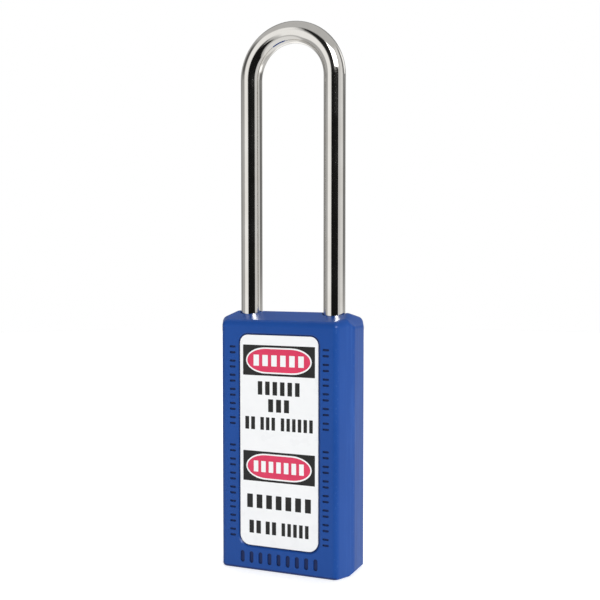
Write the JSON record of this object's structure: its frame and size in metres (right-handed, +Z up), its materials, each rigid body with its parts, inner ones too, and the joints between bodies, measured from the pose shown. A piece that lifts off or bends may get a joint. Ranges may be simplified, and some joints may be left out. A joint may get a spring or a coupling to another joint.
{
  "type": "safety padlock",
  "caption": "Tall, slim plastic-bodied safety padlock with a long round-bar shackle, a recessed label on each broad face and a key cylinder in its underside.",
  "frame": {"origin": "middle of the body's flat underside, on the surface it stands on", "axes": "+Z up along the shackle legs; -Y out of the front label; the toe leg of the shackle is at +X and the heel leg at -X"},
  "size_m": [0.0414, 0.0208, 0.1588],
  "materials": {
    "blue_body": "moulded, semi-gloss",
    "label_white": "smooth printed laminate",
    "label_black": "printed ink",
    "label_red": "printed ink",
    "carrier_nylon": "glass-filled, matt",
    "plated_steel": "polished nickel and chrome plating",
    "bright_steel": "hardened and ground",
    "zinc_steel": "zinc plated",
    "spring_wire": "drawn wire",
    "brass": "machined",
    "brass_plug": "machined, polished face"
  },
  "bodies": {
    "body": {"body_shell": "blue_body", "bottom_cap": "blue_body", "front_label": "label_white", "rear_label": "label_white", "carrier_front": "carrier_nylon", "carrier_rear": "carrier_nylon", "carrier_screws": "zinc_steel", "heel_retaining_pin": "bright_steel", "spring_seat": "zinc_steel", "shackle_spring": "spring_wire", "cylinder_housing": "brass", "chamber_cover": "brass", "cylinder_screw": "zinc_steel", "driver_pin_1": "bright_steel", "driver_pin_2": "bright_steel", "driver_pin_3": "bright_steel", "driver_pin_4": "bright_steel", "driver_pin_5": "bright_steel", "driver_pin_6": "bright_steel", "pin_spring_1": "spring_wire", "pin_spring_2": "spring_wire", "pin_spring_3": "spring_wire", "pin_spring_4": "spring_wire", "pin_spring_5": "spring_wire", "pin_spring_6": "spring_wire"},
    "plug": {"cylinder_plug": "brass_plug", "plug_clip": "spring_wire", "driver_cam": "zinc_steel", "key_pin_1": "brass", "key_pin_2": "brass", "key_pin_3": "brass", "key_pin_4": "brass", "key_pin_5": "brass", "key_pin_6": "brass"},
    "toe_ball": {"toe_ball": "bright_steel"},
    "heel_ball": {"heel_ball": "bright_steel"},
    "shackle": {"shackle": "plated_steel"}
  },
  "joints": [
    {"name": "shackle_lift", "type": "slide", "parent": "body", "child": "shackle", "axis": [0, 0, 1], "range_m": [0, 0.019], "deforming": ["shackle_spring"]},
    {"name": "plug_turn", "type": "hinge", "parent": "body", "child": "plug", "pos_m": [0, 0, 0.0008], "axis": [0, 0, 1], "range_deg": [-90, 0]},
    {"name": "toe_ball_throw", "type": "slide", "parent": "body", "child": "toe_ball", "axis": [1, 0, 0], "range_m": [0, 0.0013]},
    {"name": "heel_ball_throw", "type": "slide", "parent": "body", "child": "heel_ball", "axis": [-1, 0, 0], "range_m": [0, 0.0013]}
  ],
  "couplings": [
    {"joint": "toe_ball_throw", "follows": "plug_turn", "m_per_rad": -0.000827},
    {"joint": "heel_ball_throw", "follows": "plug_turn", "m_per_rad": -0.000827}
  ]
}
